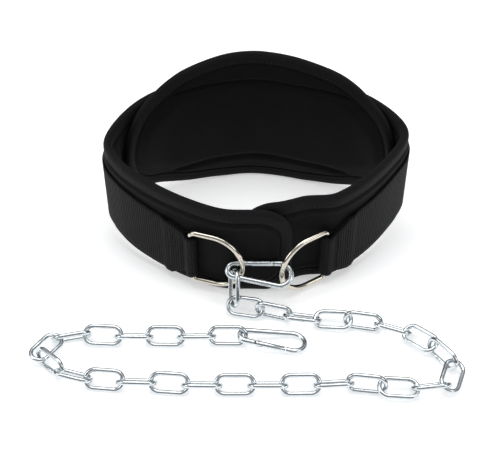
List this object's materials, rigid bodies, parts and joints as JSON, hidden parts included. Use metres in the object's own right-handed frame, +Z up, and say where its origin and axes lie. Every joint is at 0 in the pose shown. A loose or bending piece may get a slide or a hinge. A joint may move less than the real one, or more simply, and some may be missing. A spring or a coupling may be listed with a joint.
{
  "type": "dip belt",
  "caption": "Padded waist belt with a taller lumbar pad, load webbing, D-rings, a welded chain and spring snap hooks, for hanging a weight from the waist.",
  "frame": {"origin": "middle of the box round the whole belt and chain, on the floor", "axes": "+Z up, -Y towards the front of the belt where the D-rings and the chain are, +Y towards its back pad, X across"},
  "size_m": [0.3566, 0.3246, 0.1473],
  "materials": {
    "padded_fabric": "matt knitted cover over foam",
    "binding_tape": "twill tape",
    "webbing": "ribbed webbing",
    "nickel": "polished nickel plate",
    "zinc": "bright zinc plate"
  },
  "bodies": {
    "belt": {"belt_strip": "padded_fabric", "belt_binding": "binding_tape", "lumbar_pad": "padded_fabric", "pad_binding": "binding_tape", "webbing_strap": "webbing", "d_ring_left": "nickel", "d_ring_right": "nickel", "front_hook": "zinc", "end_hook": "zinc", "chain_link_01": "zinc", "chain_link_02": "zinc", "chain_link_03": "zinc", "chain_link_04": "zinc", "chain_link_05": "zinc", "chain_link_06": "zinc", "chain_link_07": "zinc", "chain_link_08": "zinc", "chain_link_09": "zinc", "chain_link_10": "zinc", "chain_link_11": "zinc", "chain_link_12": "zinc", "chain_link_13": "zinc", "chain_link_14": "zinc", "chain_link_15": "zinc", "chain_link_16": "zinc", "chain_link_17": "zinc", "chain_link_18": "zinc", "chain_link_19": "zinc", "chain_link_20": "zinc", "chain_link_21": "zinc", "chain_link_22": "zinc", "chain_link_23": "zinc", "chain_link_24": "zinc", "chain_link_25": "zinc", "chain_link_26": "zinc", "chain_link_27": "zinc", "chain_link_28": "zinc", "chain_link_29": "zinc", "chain_link_30": "zinc"},
    "front_gate": {"front_gate": "zinc"},
    "end_gate": {"end_gate": "zinc"}
  },
  "joints": [
    {"name": "front_gate_hinge", "type": "hinge", "parent": "belt", "child": "front_gate", "pos_m": [0.00145, -0.03687, 0.0378], "axis": [0.0115, 0.6145, -0.7888], "range_deg": [0, 22], "stiffness_Nm_per_rad": 0.02, "springref_deg": -17.19},
    {"name": "end_gate_hinge", "type": "hinge", "parent": "belt", "child": "end_gate", "pos_m": [0.01085, -0.10434, 0.00751], "axis": [0.1294, -0.0068, 0.9916], "range_deg": [0, 22], "stiffness_Nm_per_rad": 0.02, "springref_deg": -17.19}
  ]
}
